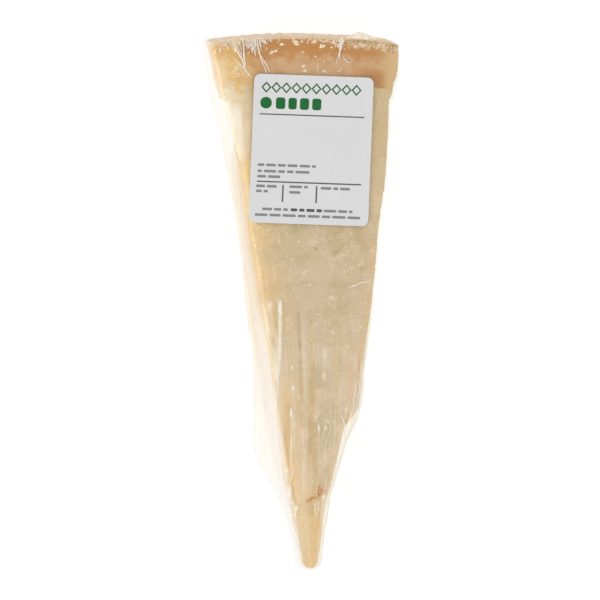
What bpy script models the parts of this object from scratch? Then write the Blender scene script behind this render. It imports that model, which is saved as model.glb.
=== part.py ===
"""A wedge of hard cheese in a tight clear wrap, lying on its lower cut face, with a price label.

Metres, +Z up. The rind is at +Y and the blunt tip at -Y. The wrapped chunk is one closed solid out to its
film: a stack of outlines, one for each level, extruded from the foot up to the upper cut face.
"""

import math

import bmesh
import bpy
from mathutils import Vector

# Driving dimensions of the chunk.
LENGTH = 0.200          # rind to tip, at the foot
HEIGHT = 0.032          # between the two cut faces
WHEEL_RADIUS = 0.217    # outer radius of the wheel that the wedge was cut from
RIND_SLOPE = 0.0010     # how far the rind leans inwards from the foot to the upper face
RIND_APEX = -0.003      # where across the wedge the rind reaches furthest out
TIP_RADIUS = 0.0032     # the blunt end of the tip
TIP_DROP = 0.0016       # how much lower the upper face lies at the tip
TIP_DROP_FROM = 0.84    # share of the length, from the rind, where that drop begins
EDGE_ROUND = 0.0014     # rounding of all edges
EDGE_STEPS = 2
ROUNDED_FROM = math.radians(38.0)   # edges that turn by more than this are rounded
SHARP_FROM = math.radians(30.0)     # edges that turn by more than this are shaded sharp

# The two long sides, as (share of the length from the rind, distance from the middle plane).
# The rind block stands proud of the flanks, which start below it with a step.
UPPER_LEFT = ((0.00, 0.0354), (0.10, 0.0330), (0.19, 0.0270), (0.36, 0.0222),
              (0.60, 0.0136), (0.77, 0.0090), (0.89, 0.0050), (1.00, 0.0010))
UPPER_RIGHT = ((0.00, 0.0350), (0.06, 0.0339), (0.10, 0.0324), (0.125, 0.0312), (0.36, 0.0270),
               (0.57, 0.0230), (0.67, 0.0207), (0.77, 0.0142), (0.87, 0.0088), (0.94, 0.0063), (1.00, 0.0046))
# At the foot the left side follows the film, which hangs off the cheese as a skirt between the two widest rows.
FOOT_LEFT = ((0.00, 0.0362), (0.115, 0.0328), (0.27, 0.0258), (0.53, 0.0189),
             (0.60, 0.0164), (0.68, 0.0162), (0.77, 0.0162), (0.83, 0.0114), (0.88, 0.0062),
             (0.95, 0.0022), (1.00, -0.0004))
FOOT_RIGHT = ((0.00, 0.0362), (0.06, 0.0352), (0.10, 0.0338), (0.125, 0.0326), (0.36, 0.0284),
              (0.57, 0.0244), (0.67, 0.0220), (0.77, 0.0154), (0.87, 0.0099), (0.94, 0.0073), (1.00, 0.0055))

# Levels of the stack: share of the height, and how far the level has gone from the foot to the upper outline.
# The skirt leans in fast just over the foot, as hanging film does.
LEVELS = ((0.0, 0.0), (0.18, 0.42), (0.45, 0.76), (1.0, 1.0))
SIDE_STEPS = 30
ARC_STEPS = 14
TIP_STEPS = 5
RIND_CORNER = 0.025     # share of the length left clear for the corner at each end of the rind
STRAIGHT_SHARE = 0.75   # between two stations a side is this much straight, and the rest eases in and out

# The label, a rounded rectangle stuck on the film.
LABEL_WIDTH = 0.0448
LABEL_LENGTH = 0.0554
LABEL_CORNER = 0.0022
LABEL_THICKNESS = 0.0003
LABEL_TURN = math.radians(-2.3)
LABEL_FROM_RIND = 0.04215  # rind to the label's middle
LABEL_OFF_CENTRE = 0.0017
FILM_GAP = 0.0003
CORNER_STEPS = 5


def clear_scene():
    """Removes what the startup scene holds."""
    for obj in list(bpy.data.objects):
        bpy.data.objects.remove(obj)


def collection(name):
    """A new collection in the scene."""
    made = bpy.data.collections.new(name)
    bpy.context.scene.collection.children.link(made)
    return made


def material(name, colour, roughness, coat=0.0):
    """A Principled material of one plain colour."""
    made = bpy.data.materials.new(name)
    made.use_nodes = True
    shader = made.node_tree.nodes["Principled BSDF"]
    shader.inputs["Base Color"].default_value = (*colour, 1.0)
    shader.inputs["Roughness"].default_value = roughness
    shader.inputs["Metallic"].default_value = 0.0
    shader.inputs["Coat Weight"].default_value = coat
    return made


def smooth_between(stations, share):
    """The distance at a share of the length, on a curve through the stations that never overshoots them."""
    for (s0, d0), (s1, d1) in zip(stations, stations[1:]):
        if share <= s1:
            t = (share - s0) / (s1 - s0)
            eased = t * t * (3.0 - 2.0 * t)
            return d0 + (d1 - d0) * (STRAIGHT_SHARE * t + (1.0 - STRAIGHT_SHARE) * eased)
    return stations[-1][1]


def side_shares():
    """Shares of the length at which the long sides have points, evenly spaced between the two ends."""
    tip_start = 1.0 - TIP_RADIUS / LENGTH
    return [RIND_CORNER + (tip_start - RIND_CORNER) * i / (SIDE_STEPS - 1) for i in range(SIDE_STEPS)]


def rind_y(x, lean):
    """Where the rind lies at a distance from the middle plane, leaning inwards by lean at this level."""
    radius = WHEEL_RADIUS - lean
    return math.sqrt(radius ** 2 - (x - RIND_APEX) ** 2) - WHEEL_RADIUS + LENGTH / 2


def outline(upper):
    """Points of the outline, anticlockwise seen from above. upper is 0 at the foot and 1 at the upper face."""
    def blend(foot, top, share):
        return smooth_between(foot, share) * (1.0 - upper) + smooth_between(top, share) * upper

    points = []
    left_end, right_end = blend(FOOT_LEFT, UPPER_LEFT, 0.0), blend(FOOT_RIGHT, UPPER_RIGHT, 0.0)
    for i in range(ARC_STEPS + 1):
        x = right_end - (right_end + left_end) * i / ARC_STEPS
        points.append((x, rind_y(x, RIND_SLOPE * upper)))
    for share in side_shares():
        points.append((-blend(FOOT_LEFT, UPPER_LEFT, share), LENGTH * (0.5 - share)))
    left_x, right_x = points[-1][0], blend(FOOT_RIGHT, UPPER_RIGHT, side_shares()[-1])
    middle, half = (left_x + right_x) / 2, (right_x - left_x) / 2
    tip_y = points[-1][1]
    for i in range(1, TIP_STEPS + 1):
        angle = math.pi + math.pi * i / (TIP_STEPS + 1)
        points.append((middle + half * math.cos(angle), tip_y + TIP_RADIUS * math.sin(angle)))
    for share in reversed(side_shares()):
        points.append((blend(FOOT_RIGHT, UPPER_RIGHT, share), LENGTH * (0.5 - share)))
    return points


def height_at(y):
    """Height of the upper face, which drops a little towards the tip."""
    share = (LENGTH / 2 - y) / LENGTH
    past = min(max((share - TIP_DROP_FROM) / (1.0 - TIP_DROP_FROM), 0.0), 1.0)
    return HEIGHT - TIP_DROP * past * past * (3.0 - 2.0 * past)


def middle_of_foot():
    """Middle of the foot's bounding box, which becomes the origin."""
    xs, ys = zip(*outline(0.0))
    return Vector(((min(xs) + max(xs)) / 2, (min(ys) + max(ys)) / 2, 0.0))


def wrapped_chunk(into, origin, finish):
    """The cheese in its film: the foot's outline, extruded through every level."""
    mesh = bpy.data.meshes.new("wrapped_chunk")
    bm = bmesh.new()
    foot = bm.faces.new([bm.verts.new((x, y, 0.0)) for x, y in outline(LEVELS[0][1])])
    top = foot
    for height_share, upper in LEVELS[1:]:
        raised = bmesh.ops.extrude_face_region(bm, geom=[top])["geom"]
        below, top = top, next(item for item in raised if isinstance(item, bmesh.types.BMFace))
        if below is not foot:
            bmesh.ops.delete(bm, geom=[below], context="FACES_ONLY")
        # An extruded face keeps the corner order of its source.
        for loop, (x, y) in zip(top.loops, outline(upper)):
            loop.vert.co = (x, y, height_at(y) * height_share)
    bmesh.ops.recalc_face_normals(bm, faces=bm.faces)
    bmesh.ops.translate(bm, verts=bm.verts, vec=-origin)
    bm.to_mesh(mesh)
    bm.free()
    obj = bpy.data.objects.new("wrapped_chunk", mesh)
    into.objects.link(obj)
    obj.data.materials.append(finish)
    rounding = obj.modifiers.new("edge_rounding", "BEVEL")
    rounding.width = EDGE_ROUND
    rounding.segments = EDGE_STEPS
    rounding.limit_method = "ANGLE"
    rounding.angle_limit = ROUNDED_FROM
    mesh.shade_smooth()
    mesh.set_sharp_from_angle(angle=SHARP_FROM)
    return obj


def label(into, origin, finish):
    """The price label, a flat outline with round corners, just over the film."""
    curve = bpy.data.curves.new("label", "CURVE")
    curve.dimensions = "2D"
    curve.fill_mode = "BOTH"
    curve.extrude = LABEL_THICKNESS / 2
    points = []
    for quarter in range(4):
        across = (1, -1, -1, 1)[quarter] * (LABEL_WIDTH / 2 - LABEL_CORNER)
        along = (1, 1, -1, -1)[quarter] * (LABEL_LENGTH / 2 - LABEL_CORNER)
        for i in range(CORNER_STEPS + 1):
            angle = math.radians(90.0) * (quarter + i / CORNER_STEPS)
            points.append((across + LABEL_CORNER * math.cos(angle), along + LABEL_CORNER * math.sin(angle)))
    spline = curve.splines.new("POLY")
    spline.points.add(len(points) - 1)
    for point, (x, y) in zip(spline.points, points):
        point.co = (x, y, 0.0, 1.0)
    spline.use_cyclic_u = True
    obj = bpy.data.objects.new("label", curve)
    into.objects.link(obj)
    obj.data.materials.append(finish)
    level = HEIGHT + FILM_GAP + LABEL_THICKNESS / 2
    obj.location = Vector((LABEL_OFF_CENTRE, LENGTH / 2 - LABEL_FROM_RIND, level)) - origin
    obj.rotation_euler = (0.0, 0.0, LABEL_TURN)
    return obj


def main():
    """Builds the chunk and its label."""
    clear_scene()
    parts = collection("parmesan_chunk")
    origin = middle_of_foot()
    wrapped_chunk(parts, origin, material("wrapped_cheese", (0.66, 0.50, 0.32), 0.35, coat=0.5))
    label(parts, origin, material("label_paper", (0.82, 0.82, 0.81), 0.5))


main()
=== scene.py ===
"""The looks of a wedge of parmesan in tight clear film with a plain price label.

Metres, +Z up, the rind at +Y, the blunt tip at -Y, and the wedge lies on its lower cut face at Z = 0.
Stations and other small sizes are in millimetres and are multiplied by MM where they are used.
"""

import logging
import math
import random
from dataclasses import dataclass, field
from enum import Enum
from typing import Callable, Sequence

import bmesh
import bpy
import numpy as np
from mathutils import Matrix, Vector, noise


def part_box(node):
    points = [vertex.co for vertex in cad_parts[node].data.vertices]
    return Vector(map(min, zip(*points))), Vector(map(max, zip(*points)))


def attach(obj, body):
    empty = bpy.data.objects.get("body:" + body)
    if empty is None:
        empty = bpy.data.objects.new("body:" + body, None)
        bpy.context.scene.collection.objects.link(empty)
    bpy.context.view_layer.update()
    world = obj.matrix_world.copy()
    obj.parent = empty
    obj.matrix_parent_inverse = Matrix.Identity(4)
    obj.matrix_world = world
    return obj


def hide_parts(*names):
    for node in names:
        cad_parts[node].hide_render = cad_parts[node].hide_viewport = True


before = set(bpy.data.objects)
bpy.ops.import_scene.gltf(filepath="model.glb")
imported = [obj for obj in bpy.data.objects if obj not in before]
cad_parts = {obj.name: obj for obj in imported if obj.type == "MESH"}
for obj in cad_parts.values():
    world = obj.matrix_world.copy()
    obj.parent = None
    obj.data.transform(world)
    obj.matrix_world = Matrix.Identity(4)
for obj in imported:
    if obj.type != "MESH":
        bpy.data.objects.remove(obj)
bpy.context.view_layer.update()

LOG = logging.getLogger("parmesan_chunk")
MM = 0.001
ROOT = "root"
WRAPPED = "wrapped_chunk"
LABEL = "label"

Stations = tuple[tuple[float, float], ...]
Colour = tuple[float, float, float]


def linear(red: float, green: float, blue: float) -> Colour:
    """The linear colour of a screen colour given from 0 to 255.

    Args:
        red: Red, 0 to 255.
        green: Green, 0 to 255.
        blue: Blue, 0 to 255.

    Returns:
        The colour that a shader's socket takes.
    """
    def one(channel: float) -> float:
        share = channel / 255.0
        return share / 12.92 if share <= 0.04045 else ((share + 0.055) / 1.055) ** 2.4

    return one(red), one(green), one(blue)


def smooth(low: float, high: float, value: np.ndarray | float) -> np.ndarray | float:
    """An eased step from 0 at low to 1 at high.

    Args:
        low: Where the step starts.
        high: Where the step ends.
        value: One number or an array of them.

    Returns:
        The step's height, of the same kind as value.
    """
    share = np.clip((value - low) / (high - low), 0.0, 1.0)
    return share * share * (3.0 - 2.0 * share)


def read_stations(stations: Stations, along: np.ndarray) -> np.ndarray:
    """Distances on a curve through the stations that never overshoots them.

    Args:
        stations: Pairs of (place along the length, distance), in order.
        along: The places to read.

    Returns:
        The distance at each place.
    """
    places, values = np.array(stations, float).T
    steps = np.diff(places)
    slopes = np.diff(values) / steps
    tangents = np.concatenate(([slopes[0]], np.zeros(len(slopes) - 1), [slopes[-1]]))
    same_way = slopes[:-1] * slopes[1:] > 0.0
    before, after = slopes[:-1][same_way], slopes[1:][same_way]
    tangents[1:-1][same_way] = 2.0 * before * after / (before + after)
    i = np.clip(np.searchsorted(places, along) - 1, 0, len(steps) - 1)
    t = np.clip((along - places[i]) / steps[i], 0.0, 1.0)
    rise = values[i + 1] - values[i]
    eased = values[i] + rise * t * t * (3.0 - 2.0 * t)
    return eased + steps[i] * t * (1.0 - t) * (tangents[i] * (1.0 - t) - tangents[i + 1] * t)


def crowd_ends(share: np.ndarray, crowding: float) -> np.ndarray:
    """Moves evenly spaced shares towards 0 and 1, so that the ends get a finer grid.

    Args:
        share: Evenly spaced shares.
        crowding: 0 keeps them even, and 0.8 is a strong pull.

    Returns:
        The moved shares.
    """
    return share - crowding * np.sin(2.0 * math.pi * share) / (2.0 * math.pi)


def finished(name: str, bm: bmesh.types.BMesh, material: bpy.types.Material) -> bpy.types.Object:
    """Turns a bmesh into a smooth piece that rides on the root body.

    Args:
        name: The piece's name.
        bm: Its mesh, in the frame's own coordinates. It is freed.
        material: Its finish.

    Returns:
        The new object.
    """
    mesh = bpy.data.meshes.new(name)
    bm.to_mesh(mesh)
    bm.free()
    mesh.shade_smooth()
    mesh.materials.append(material)
    piece = bpy.data.objects.new(name, mesh)
    bpy.context.scene.collection.objects.link(piece)
    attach(piece, ROOT)
    LOG.info("%s: %d faces", name, len(mesh.polygons))
    return piece


def gridded_block(cuts: tuple[int, int, int]) -> bmesh.types.BMesh:
    """A unit block from 0 to 1 whose six faces carry a fine grid.

    Args:
        cuts: How many cells it has across, along and up.

    Returns:
        The new bmesh.
    """
    bm = bmesh.new()
    bmesh.ops.create_cube(bm, size=1.0)
    bmesh.ops.translate(bm, verts=bm.verts, vec=(0.5, 0.5, 0.5))
    for axis, cells in enumerate(cuts):
        parallel = [e for e in bm.edges if abs(e.verts[0].co[axis] - e.verts[1].co[axis]) > 0.5 / max(cuts)]
        bmesh.ops.subdivide_edges(bm, edges=parallel, cuts=cells - 1, use_grid_fill=True)
    return bm


def corners_of(bm: bmesh.types.BMesh) -> np.ndarray:
    """The places of a bmesh's vertices, one row each."""
    return np.array([vert.co[:] for vert in bm.verts])


def set_corners(bm: bmesh.types.BMesh, places: np.ndarray) -> None:
    """Moves each vertex of a bmesh to its row of places."""
    for vert, place in zip(bm.verts, places):
        vert.co = place


def cloud(spots: np.ndarray, per_mm: float | Sequence[float], shift: float = 0.0) -> np.ndarray:
    """Perlin noise at many points, from about -1 to 1.

    Args:
        spots: The points, one row each, in millimetres.
        per_mm: How many blotches fit in a millimetre, for all axes or for each.
        shift: Moves the pattern, so that layers differ.

    Returns:
        The noise of each point.
    """
    return np.array([noise.noise(spot) for spot in (spots * np.asarray(per_mm) + shift).tolist()])


def paint(bm: bmesh.types.BMesh, name: str, values: np.ndarray) -> None:
    """Stores a value for each vertex, which a finish reads by the name."""
    layer = bm.verts.layers.float.new(name)
    for vert, value in zip(bm.verts, values.tolist()):
        vert[layer] = value


def normals_of(bm: bmesh.types.BMesh) -> np.ndarray:
    """The normals of a bmesh's vertices, one row each."""
    return np.array([vert.normal[:] for vert in bm.verts])


# ---------------------------------------------------------------- finishes


class Graph:
    """The node tree of one finish, with short calls that add nodes and join them."""

    def __init__(self, name: str) -> None:
        """Starts a material with an empty tree and an output."""
        self.material = bpy.data.materials.new(name)
        self.material.use_nodes = True
        self.tree = self.material.node_tree
        self.tree.nodes.clear()
        self.output = self.tree.nodes.new("ShaderNodeOutputMaterial")
        self.place = self.tree.nodes.new("ShaderNodeTexCoord").outputs["Object"]

    def add(self, kind: str, inputs: dict | None = None, **settings: object) -> bpy.types.Node:
        """Adds a node.

        Args:
            kind: The node's type.
            inputs: Socket names or numbers, each with a value or with the socket that feeds it.
            settings: The node's own properties.

        Returns:
            The new node.
        """
        node = self.tree.nodes.new(kind)
        for key, value in settings.items():
            setattr(node, key, value)
        for key, value in (inputs or {}).items():
            if isinstance(value, bpy.types.NodeSocket):
                self.tree.links.new(value, node.inputs[key])
            else:
                socket = node.inputs[key]
                socket.default_value = (*value, 1.0) if self.is_colour(socket, value) else value
        return node

    @staticmethod
    def is_colour(socket: bpy.types.NodeSocket, value: object) -> bool:
        """True where a colour of three numbers goes into a socket of four."""
        return socket.type == "RGBA" and len(value) == 3

    def stretched(self, scale: Sequence[float]) -> bpy.types.NodeSocket:
        """The place on the piece, stretched by a scale for each axis."""
        return self.add("ShaderNodeMapping", {"Vector": self.place, "Scale": scale}).outputs["Vector"]

    def noise(self, scale: float, detail: float = 3.0, rough: float = 0.55, twist: float = 0.0,
              at: bpy.types.NodeSocket | None = None) -> bpy.types.NodeSocket:
        """Cloudy noise from 0 to 1.

        Args:
            scale: How many blotches fit in a metre.
            detail: How many finer layers it has.
            rough: How strong the finer layers are.
            twist: How far it is distorted.
            at: Where it is read, or None for the place on the piece.

        Returns:
            The noise's value.
        """
        inputs = {"Vector": at or self.place, "Scale": scale, "Detail": detail, "Roughness": rough,
                  "Distortion": twist}
        return self.add("ShaderNodeTexNoise", inputs).outputs["Fac"]

    def grains(self, scale: float) -> bpy.types.Node:
        """Voronoi cells, of which scale fit in a metre: its Distance and Color sockets are of use."""
        return self.add("ShaderNodeTexVoronoi", {"Vector": self.place, "Scale": scale})

    def step(self, value: bpy.types.NodeSocket, low: float, high: float,
             start: float = 0.0, end: float = 1.0) -> bpy.types.NodeSocket:
        """An eased step of a value.

        Args:
            value: What is read.
            low: Where the step starts.
            high: Where the step ends.
            start: The result below low.
            end: The result above high.

        Returns:
            The step's result.
        """
        inputs = {"Value": value, "From Min": low, "From Max": high, "To Min": start, "To Max": end}
        return self.add("ShaderNodeMapRange", inputs, interpolation_type="SMOOTHSTEP").outputs["Result"]

    def math(self, operation: str, *values: object) -> bpy.types.NodeSocket:
        """One Math node on one to three values or sockets."""
        return self.add("ShaderNodeMath", dict(enumerate(values)), operation=operation).outputs[0]

    def mix(self, share: object, first: object, second: object, how: str = "MIX") -> bpy.types.NodeSocket:
        """A colour between two others.

        Args:
            share: 0 for the first, 1 for the second.
            first: A colour or a socket.
            second: A colour or a socket.
            how: The blend type.

        Returns:
            The mixed colour.
        """
        node = self.add("ShaderNodeMix", {0: share, 6: first, 7: second}, data_type="RGBA", blend_type=how)
        return node.outputs[2]

    def bump(self, height: bpy.types.NodeSocket, depth: float, under: bpy.types.NodeSocket | None = None,
             strength: float = 1.0) -> bpy.types.NodeSocket:
        """A bumped normal.

        Args:
            height: The relief, 0 to 1.
            depth: Its full height in millimetres.
            under: Another bump's normal that this one goes on.
            strength: How much of it counts.

        Returns:
            The normal.
        """
        inputs = {"Height": height, "Distance": depth * MM, "Strength": strength}
        if under:
            inputs["Normal"] = under
        return self.add("ShaderNodeBump", inputs).outputs["Normal"]

    def finish(self, surface: bpy.types.NodeSocket) -> bpy.types.Material:
        """Joins the surface to the output and hands back the material."""
        self.tree.links.new(surface, self.output.inputs["Surface"])
        return self.material


@dataclass(frozen=True)
class CheeseFinish:
    """Aged cheese: a tan rind zone, set by the depth under the wheel's outside, then pale granular paste."""

    wheel_radius: float
    wheel_axis: tuple[float, float]
    tip_y: float
    crust: Colour = linear(250, 231, 196)
    crust_tan: Colour = linear(226, 188, 136)
    crust_brown: Colour = linear(172, 116, 58)
    crust_gold: Colour = linear(212, 174, 118)
    hide: Colour = linear(240, 208, 160)
    hide_dark: Colour = linear(224, 184, 130)
    dark: Colour = linear(205, 141, 66)
    burn: Colour = linear(194, 128, 58)
    tan: Colour = linear(220, 178, 130)
    gold: Colour = linear(246, 202, 114)
    ripe_gold: Colour = linear(228, 196, 142)
    paste: Colour = linear(226, 202, 164)
    paste_olive: Colour = linear(213, 189, 141)
    paste_ripe: Colour = linear(220, 194, 146)
    paste_pink: Colour = linear(236, 210, 178)
    rim_gold: Colour = linear(244, 210, 150)
    rim_cream: Colour = linear(255, 235, 202)
    tip: Colour = linear(243, 213, 164)
    crystal: Colour = linear(255, 242, 212)
    squiggle: Colour = linear(190, 162, 108)
    crack: Colour = linear(216, 142, 48)
    # pit: painted shade, the darker tone put into the pits, the cut marks and the low facet by the tip
    pit: Colour = linear(176, 148, 92)
    depth_of_tone: Colour = (0.89, 0.89, 0.89)

    def rind_depth(self, graph: Graph) -> bpy.types.NodeSocket:
        """How deep a point lies under the wheel's outside, in millimetres."""
        from_axis = graph.add("ShaderNodeVectorMath", {0: graph.place, 1: (*self.wheel_axis, 0.0)},
                              operation="SUBTRACT").outputs[0]
        flat = graph.add("ShaderNodeVectorMath", {0: from_axis, 1: (1.0, 1.0, 0.0)},
                         operation="MULTIPLY").outputs[0]
        radius = graph.add("ShaderNodeVectorMath", {0: flat}, operation="LENGTH").outputs["Value"]
        return graph.math("MULTIPLY", graph.math("SUBTRACT", self.wheel_radius, radius), 1.0 / MM)

    def paste_colour(self, graph: Graph) -> bpy.types.NodeSocket:
        """The pale inside: olive and rosy clouds, golden or creamy rims, a golden tip and fine flecks."""
        along = graph.add("ShaderNodeSeparateXYZ", {0: graph.place}).outputs["Y"]
        colour = graph.mix(graph.step(graph.noise(48.0, 4.0, 0.6), 0.42, 0.60), self.paste, self.paste_olive)
        patch = graph.step(graph.noise(130.0, 4.0, 0.6, 0.6), 0.45, 0.62)
        colour = graph.mix(graph.math("MULTIPLY", patch, 0.6), colour, self.paste_pink)
        rim = graph.add("ShaderNodeAttribute", attribute_name=Cheese.RIM).outputs["Fac"]
        rim_tone = graph.mix(graph.step(along, 60 * MM, 76 * MM), self.rim_gold, self.rim_cream)
        mottled = graph.math("MULTIPLY", rim, graph.step(graph.noise(110.0), 0.3, 0.6, 0.55, 1.0))
        colour = graph.mix(mottled, colour, rim_tone)
        paler = graph.math("MAXIMUM", graph.step(along, 0.0, -40 * MM, 0.95, 1.04),
                           graph.step(along, 20 * MM, 45 * MM, 0.95, 1.01))
        cooler = graph.step(along, 0.0, -40 * MM, 0.95, 1.12)
        grey = graph.add("ShaderNodeCombineColor", {0: paler, 1: paler, 2: cooler}).outputs[0]
        colour = graph.mix(1.0, colour, grey, "MULTIPLY")
        across = graph.add("ShaderNodeSeparateXYZ", {0: graph.place}).outputs["X"]
        ripe = graph.math("MULTIPLY", graph.step(across, 21 * MM, 26 * MM),
                          graph.step(along, 40 * MM, 60 * MM))
        colour = graph.mix(graph.math("MULTIPLY", ripe, 0.7), colour, self.paste_ripe)
        colour = graph.mix(graph.step(along, self.tip_y + 32 * MM, self.tip_y + 18 * MM), colour, self.tip)
        colour = self.grained(graph, colour)
        spots = graph.grains(420.0)
        chosen = graph.step(graph.add("ShaderNodeSeparateColor", {0: spots.outputs["Color"]}).outputs[0],
                            0.68, 0.70)
        spot = graph.math("MULTIPLY", graph.step(spots.outputs["Distance"], 0.17, 0.07), chosen)
        colour = graph.mix(spot, colour, self.crystal)
        where = graph.step(along, 0.040, 0.024)
        colour = graph.mix(self.squiggles(graph, 300.0, 260.0, where, 0.65), colour, self.crystal)
        return graph.mix(self.squiggles(graph, 240.0, 170.0, where, 0.35), colour, self.squiggle)

    def grained(self, graph: Graph, colour: bpy.types.NodeSocket) -> bpy.types.NodeSocket:
        """The colour with a faint granular grain that fades away in places."""
        calm = graph.step(graph.noise(70.0, 3.0), 0.38, 0.62)
        worms = graph.step(graph.noise(560.0, 3.0, 0.6, 1.2), 0.36, 0.64, -0.07, 0.04)
        grain = graph.step(graph.noise(1500.0, 2.0, 0.6), 0.3, 0.7, 0.97, 1.03)
        both = graph.math("MULTIPLY_ADD", worms, calm, grain)
        grey = graph.add("ShaderNodeCombineColor",
                         {0: both, 1: both, 2: graph.math("POWER", both, 1.4)}).outputs[0]
        return graph.mix(1.0, colour, grey, "MULTIPLY")

    def squiggles(self, graph: Graph, scale: float, patches: float, where: bpy.types.NodeSocket,
                  strength: float) -> bpy.types.NodeSocket:
        """Short thin curves, where a cloud crosses its middle value inside scattered patches.

        Args:
            graph: The finish's tree.
            scale: How many curves fit in a metre.
            patches: How many patches fit in a metre.
            where: The stretch that has them.
            strength: How clear they are.

        Returns:
            Their strength at each point.
        """
        off_middle = graph.math("ABSOLUTE", graph.math("SUBTRACT", graph.noise(scale, 2.0, 0.5, 0.9), 0.5))
        inside = graph.math("MULTIPLY", graph.step(graph.noise(patches, 2.0), 0.55, 0.61), where)
        line = graph.math("MULTIPLY", graph.step(off_middle, 0.022, 0.008), inside)
        return graph.math("MULTIPLY", line, strength)

    def rind_colour(self, graph: Graph, depth: bpy.types.NodeSocket) -> bpy.types.NodeSocket:
        """The rind zone: a speckled crust, a dark band, and mottled tan that turns golden at the flanks.

        Args:
            graph: The finish's tree.
            depth: The depth under the wheel's outside, in millimetres.

        Returns:
            The zone's colour.
        """
        wander = graph.step(graph.noise(160.0, 5.0, 0.65), 0.3, 0.7, -2.0, 2.0)
        wavy = graph.math("ADD", depth, wander)
        blotch = graph.step(graph.noise(110.0, 4.0, 0.6, 0.6), 0.40, 0.62)
        brown = graph.mix(graph.math("MULTIPLY", blotch, 0.5), self.tan, self.dark)
        band = graph.mix(graph.step(wavy, 5.6, 8.8), self.dark, brown)
        across = graph.add("ShaderNodeSeparateXYZ", {0: graph.place}).outputs["X"]
        golden = graph.step(across, -15 * MM, -27 * MM, 0.0, 0.95)
        band = graph.mix(graph.step(across, 25 * MM, 34 * MM, 0.0, 0.9), band, self.ripe_gold)
        cloudy = graph.step(graph.noise(150.0, 4.0, 0.6, 0.6), 0.36, 0.62, 1.0, 0.62)
        band = graph.mix(graph.math("MULTIPLY", golden, cloudy), band, self.gold)
        flecked = graph.math("MULTIPLY", golden,
                             graph.step(graph.noise(520.0, 4.0, 0.7), 0.54, 0.66, 0.0, 0.6))
        band = graph.mix(flecked, band, self.crystal)
        flecked = graph.math("MULTIPLY", golden,
                             graph.step(graph.noise(340.0, 4.0, 0.7, 1.0), 0.55, 0.68, 0.0, 0.6))
        band = graph.mix(flecked, band, self.tan)
        pale = graph.math("MULTIPLY", graph.step(across, -27.5 * MM, -31.5 * MM), graph.step(depth, 3.0, 9.0))
        band = graph.mix(graph.math("MULTIPLY", pale, 0.5), band, self.rim_cream)
        burnt = graph.math("MULTIPLY", graph.step(across, 19 * MM, 23 * MM),
                           graph.step(across, 31 * MM, 27 * MM))
        burnt = graph.math("MULTIPLY", burnt, graph.step(depth, 10.0, 13.5))
        band = graph.mix(graph.math("MULTIPLY", burnt, 0.8), band, self.burn)
        singed = graph.math("MULTIPLY", graph.step(across, -25 * MM, -22.6 * MM),
                            graph.step(across, -18 * MM, -20 * MM))
        singed = graph.math("MULTIPLY", singed, graph.step(wavy, 7.5, 5.0))
        band = graph.mix(graph.math("MULTIPLY", singed, 0.85), band, self.burn)
        tan_patch = graph.step(graph.noise(430.0, 3.0, 0.65), 0.44, 0.56)
        crust = graph.mix(graph.math("MULTIPLY", tan_patch, 0.85), self.crust, self.crust_tan)
        ripe = graph.step(graph.noise(300.0, 3.0, 0.6), 0.40, 0.56, 0.35, 1.0)
        ripe = graph.math("MULTIPLY", ripe, graph.step(across, 6 * MM, 16 * MM, 0.0, 0.85))
        crust = graph.mix(ripe, crust, self.crust_gold)
        crust = graph.mix(graph.step(graph.noise(700.0, 3.0, 0.7), 0.53, 0.60), crust, self.crust_brown)
        up = graph.add("ShaderNodeSeparateXYZ", {0: graph.place}).outputs["Z"]
        outside = graph.math("MULTIPLY", graph.step(up, 30.5 * MM, 28.0 * MM), graph.step(depth, 2.2, 1.2))
        hide = graph.mix(graph.step(graph.noise(90.0, 5.0, 0.65), 0.35, 0.65), self.hide, self.hide_dark)
        crust = graph.mix(graph.math("MULTIPLY", outside, 0.8), crust, hide)
        broad = graph.step(across, 2 * MM, 20 * MM, 0.0, 1.8)
        rough_depth = graph.math("ADD", depth, graph.step(graph.noise(560.0, 3.0, 0.7), 0.3, 0.7, -1.2, 1.2))
        rough_depth = graph.math("SUBTRACT", rough_depth, broad)
        return graph.mix(graph.step(rough_depth, 1.1, 2.2), crust, band)

    def build(self) -> bpy.types.Material:
        """Builds the material."""
        graph = Graph("aged_cheese")
        depth = self.rind_depth(graph)
        edge_noise = graph.step(graph.noise(210.0, 5.0, 0.7), 0.3, 0.7, -3.4, 2.0)
        right = graph.step(graph.add("ShaderNodeSeparateXYZ", {0: graph.place}).outputs["X"], -6 * MM,
                           8 * MM, 1.0, 0.12)
        ragged = graph.math("ADD", depth, graph.math("MULTIPLY", edge_noise, right))
        inside = graph.step(ragged, 16.9, 17.7)
        colour = graph.mix(inside, self.rind_colour(graph, depth), self.paste_colour(graph))
        crack = graph.add("ShaderNodeAttribute", attribute_name=Cheese.CRACK).outputs["Fac"]
        # Painted shade: the pit attribute darkens the pits, the cut marks and the low facet.
        pit = graph.add("ShaderNodeAttribute", attribute_name=Cheese.PIT_SHADE).outputs["Fac"]
        colour = graph.mix(crack, colour, self.crack)
        colour = graph.mix(pit, colour, self.pit)
        colour = graph.mix(1.0, colour, self.depth_of_tone, "MULTIPLY")
        fine = graph.bump(graph.noise(2600.0, 3.0, 0.7), 0.05)
        grainy = graph.bump(graph.noise(620.0, 3.0, 0.6, 1.6), 0.12, fine, 0.8)
        shader = graph.add("ShaderNodeBsdfPrincipled", {
            "Base Color": colour, "Roughness": 0.5, "Specular IOR Level": 0.35, "Normal": grainy,
            "Subsurface Weight": 0.2, "Subsurface Radius": (1.0, 0.55, 0.3), "Subsurface Scale": 2.0 * MM})
        return graph.finish(shader.outputs[0])


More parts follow.
